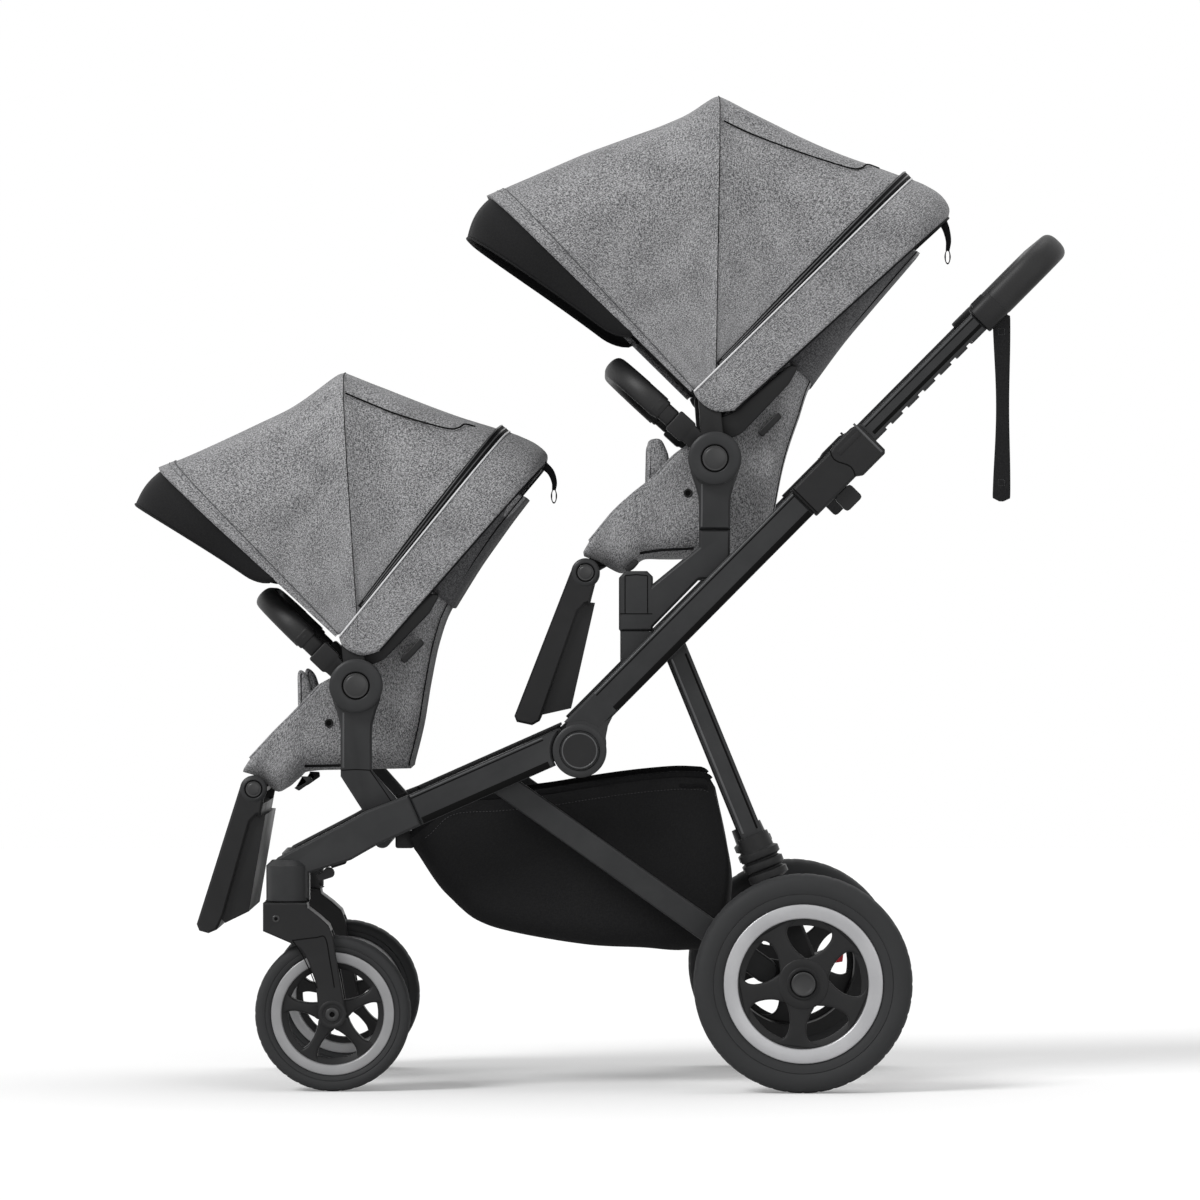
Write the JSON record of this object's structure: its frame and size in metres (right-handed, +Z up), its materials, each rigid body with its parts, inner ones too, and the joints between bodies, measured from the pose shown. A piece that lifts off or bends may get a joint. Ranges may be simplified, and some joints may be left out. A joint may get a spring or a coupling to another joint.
{
  "type": "tandem stroller",
  "caption": "Folding tandem stroller with an upper and a lower seat, canopies, a basket, swivel front casters, sprung rear axle and a telescoping handle.",
  "frame": {"origin": "on the floor, under the middle of the overall box", "axes": "+Z up, -X towards the front wheels, -Y towards the stroller's left side, where the brake pedal and the wrist strap are"},
  "size_m": [1.2855, 0.599, 1.377],
  "materials": {
    "frame_paint": "satin anthracite",
    "black_plastic": "fine matte grain",
    "tyre_rubber": "matte",
    "rim_silver": "silver satin",
    "leatherette": "fine grain",
    "grey_fabric": "melange weave",
    "black_fabric": "smooth weave",
    "webbing": "woven",
    "red_plastic": "satin"
  },
  "bodies": {
    "front_frame": {"front_tube_left": "frame_paint", "front_tube_right": "frame_paint", "front_leg_left": "frame_paint", "front_leg_right": "frame_paint", "hinge_crossbar": "frame_paint", "front_crossbar": "frame_paint", "basket": "black_fabric"},
    "upper_frame": {"upper_tube_left": "frame_paint", "upper_tube_right": "frame_paint", "hinge_cap_left": "black_plastic", "hinge_cap_right": "black_plastic", "clamp_sleeve_left": "black_plastic", "clamp_sleeve_right": "black_plastic"},
    "fold_slider_left": {"fold_slider_left": "black_plastic"},
    "fold_slider_right": {"fold_slider_right": "black_plastic"},
    "handle": {"handle_tube_left": "frame_paint", "handle_tube_right": "frame_paint", "handle_grip": "leatherette", "wrist_strap": "webbing"},
    "handle_button": {"handle_button": "black_plastic"},
    "rear_frame": {"rear_leg_left": "frame_paint", "rear_leg_right": "frame_paint"},
    "axle_assembly": {"rear_axle": "frame_paint", "suspension_boot_left": "black_plastic", "suspension_boot_right": "black_plastic"},
    "rear_wheel_left": {"rear_rim_left": "rim_silver", "rear_tyre_left": "tyre_rubber"},
    "rear_wheel_right": {"rear_rim_right": "rim_silver", "rear_tyre_right": "tyre_rubber"},
    "hub_button_left": {"hub_button_left": "black_plastic"},
    "hub_button_right": {"hub_button_right": "black_plastic"},
    "brake_pedal": {"brake_pedal": "red_plastic"},
    "struts": {"strut_left": "frame_paint", "strut_right": "frame_paint"},
    "caster_left": {"caster_fork_left": "black_plastic"},
    "caster_right": {"caster_fork_right": "black_plastic"},
    "front_wheel_left": {"front_rim_left": "rim_silver", "front_tyre_left": "tyre_rubber"},
    "front_wheel_right": {"front_rim_right": "rim_silver", "front_tyre_right": "tyre_rubber"},
    "caster_lock_left": {"caster_lock_left": "black_plastic"},
    "caster_lock_right": {"caster_lock_right": "black_plastic"},
    "upper_seat_mount": {"upper_adapter_left": "frame_paint", "upper_adapter_right": "frame_paint", "upper_arm_left": "frame_paint", "upper_arm_right": "frame_paint"},
    "upper_seat": {"upper_seat_shell": "grey_fabric", "upper_canopy_rear": "grey_fabric"},
    "upper_footrest": {"upper_footrest": "black_plastic"},
    "upper_bumper": {"upper_bumper_bar": "leatherette"},
    "upper_canopy": {"upper_canopy_front": "grey_fabric"},
    "upper_visor": {"upper_visor": "black_fabric"},
    "lower_seat_mount": {"lower_arm_left": "frame_paint", "lower_arm_right": "frame_paint"},
    "lower_seat": {"lower_seat_shell": "grey_fabric", "lower_canopy_rear": "grey_fabric"},
    "lower_footrest": {"lower_footrest": "black_plastic"},
    "lower_bumper": {"lower_bumper_bar": "leatherette"},
    "lower_canopy": {"lower_canopy_front": "grey_fabric"},
    "lower_visor": {"lower_visor": "black_fabric"}
  },
  "joints": [
    {"name": "frame_fold", "type": "hinge", "parent": "front_frame", "child": "upper_frame", "pos_m": [-0.028, 0, 0.468], "axis": [0, -1, 0], "range_deg": [0, 10]},
    {"name": "rear_leg_fold", "type": "hinge", "parent": "upper_frame", "child": "rear_frame", "pos_m": [0.09732, 0, 0.62542], "axis": [0, -1, 0], "range_deg": [-4, 0]},
    {"name": "strut_swing", "type": "hinge", "parent": "front_frame", "child": "struts", "pos_m": [-0.15, 0, 0.433], "axis": [0, -1, 0], "range_deg": [0, 6]},
    {"name": "suspension", "type": "slide", "parent": "rear_frame", "child": "axle_assembly", "axis": [-0.3789, 0, 0.9254], "range_m": [0, 0.012], "stiffness_N_per_m": 15000, "springref_m": -0.012},
    {"name": "rear_wheel_spin_left", "type": "hinge", "parent": "axle_assembly", "child": "rear_wheel_left", "pos_m": [0.278, -0.272, 0.15], "axis": [0, 1, 0], "continuous": true},
    {"name": "rear_wheel_spin_right", "type": "hinge", "parent": "axle_assembly", "child": "rear_wheel_right", "pos_m": [0.278, 0.272, 0.15], "axis": [0, 1, 0], "continuous": true},
    {"name": "hub_button_press_left", "type": "slide", "parent": "rear_wheel_left", "child": "hub_button_left", "axis": [0, 1, 0], "range_m": [0, 0.003], "stiffness_N_per_m": 600},
    {"name": "hub_button_press_right", "type": "slide", "parent": "rear_wheel_right", "child": "hub_button_right", "axis": [0, -1, 0], "range_m": [0, 0.003], "stiffness_N_per_m": 600},
    {"name": "brake_pedal_press", "type": "hinge", "parent": "axle_assembly", "child": "brake_pedal", "pos_m": [0.298, -0.075, 0.172], "axis": [0, 1, 0], "range_deg": [0, 18]},
    {"name": "handle_telescope", "type": "slide", "parent": "upper_frame", "child": "handle", "axis": [0.7046, 0, 0.7096], "range_m": [-0.1575, 0]},
    {"name": "handle_button_press", "type": "slide", "parent": "handle", "child": "handle_button", "axis": [0.7096, 0, -0.7046], "range_m": [0, 0.003], "stiffness_N_per_m": 600},
    {"name": "fold_slider_slide_left", "type": "slide", "parent": "upper_frame", "child": "fold_slider_left", "axis": [0.7046, 0, 0.7096], "range_m": [0, 0.015], "stiffness_N_per_m": 200},
    {"name": "fold_slider_slide_right", "type": "slide", "parent": "upper_frame", "child": "fold_slider_right", "axis": [0.7046, 0, 0.7096], "range_m": [0, 0.015], "stiffness_N_per_m": 200},
    {"name": "caster_swivel_left", "type": "hinge", "parent": "front_frame", "child": "caster_left", "pos_m": [-0.429, -0.235, 0.26], "axis": [0, 0, 1], "continuous": true},
    {"name": "caster_swivel_right", "type": "hinge", "parent": "front_frame", "child": "caster_right", "pos_m": [-0.429, 0.235, 0.26], "axis": [0, 0, 1], "continuous": true},
    {"name": "front_wheel_spin_left", "type": "hinge", "parent": "caster_left", "child": "front_wheel_left", "pos_m": [-0.367, -0.235, 0.107], "axis": [0, 1, 0], "continuous": true},
    {"name": "front_wheel_spin_right", "type": "hinge", "parent": "caster_right", "child": "front_wheel_right", "pos_m": [-0.367, 0.235, 0.107], "axis": [0, 1, 0], "continuous": true},
    {"name": "caster_lock_flip_left", "type": "hinge", "parent": "front_frame", "child": "caster_lock_left", "pos_m": [-0.373, -0.235, 0.2995], "axis": [0, -1, 0], "range_deg": [0, 25]},
    {"name": "caster_lock_flip_right", "type": "hinge", "parent": "front_frame", "child": "caster_lock_right", "pos_m": [-0.373, 0.235, 0.2995], "axis": [0, -1, 0], "range_deg": [0, 25]},
    {"name": "upper_seat_lift", "type": "slide", "parent": "upper_frame", "child": "upper_seat_mount", "axis": [0, 0, 1], "range_m": [0, 0.08]},
    {"name": "upper_seat_recline", "type": "hinge", "parent": "upper_seat_mount", "child": "upper_seat", "pos_m": [0.158, 0, 0.87], "axis": [0, -1, 0], "range_deg": [-10, 0]},
    {"name": "upper_footrest_swing", "type": "hinge", "parent": "upper_seat", "child": "upper_footrest", "pos_m": [-0.02, 0, 0.713], "axis": [0, 1, 0], "range_deg": [0, 20]},
    {"name": "upper_bumper_pull", "type": "slide", "parent": "upper_seat", "child": "upper_bumper", "axis": [-0.7385, 0, 0.6743], "range_m": [0, 0.06]},
    {"name": "upper_canopy_fold", "type": "hinge", "parent": "upper_seat", "child": "upper_canopy", "pos_m": [0.15, 0, 0.96], "axis": [0, 1, 0], "range_deg": [0, 75], "deforming": ["upper_canopy_front"]},
    {"name": "upper_visor_flip", "type": "hinge", "parent": "upper_canopy", "child": "upper_visor", "pos_m": [0.15, 0, 0.96], "axis": [0, 1, 0], "range_deg": [0, 14]},
    {"name": "lower_seat_lift", "type": "slide", "parent": "front_frame", "child": "lower_seat_mount", "axis": [0, 0, 1], "range_m": [0, 0.08]},
    {"name": "lower_seat_recline", "type": "hinge", "parent": "lower_seat_mount", "child": "lower_seat", "pos_m": [-0.336, 0, 0.557], "axis": [0, -1, 0], "range_deg": [-10, 0]},
    {"name": "lower_footrest_swing", "type": "hinge", "parent": "lower_seat", "child": "lower_footrest", "pos_m": [-0.48, 0, 0.413], "axis": [0, 1, 0], "range_deg": [0, 60]},
    {"name": "lower_bumper_pull", "type": "slide", "parent": "lower_seat", "child": "lower_bumper", "axis": [-0.7193, 0, 0.6947], "range_m": [0, 0.06]},
    {"name": "lower_canopy_fold", "type": "hinge", "parent": "lower_seat", "child": "lower_canopy", "pos_m": [-0.343, 0, 0.617], "axis": [0, 1, 0], "range_deg": [0, 75], "deforming": ["lower_canopy_front"]},
    {"name": "lower_visor_flip", "type": "hinge", "parent": "lower_canopy", "child": "lower_visor", "pos_m": [-0.343, 0, 0.617], "axis": [0, 1, 0], "range_deg": [0, 14]}
  ],
  "couplings": [
    {"joint": "rear_leg_fold", "follows": "frame_fold", "ratio": -0.326},
    {"joint": "strut_swing", "follows": "frame_fold", "ratio": 0.56}
  ]
}
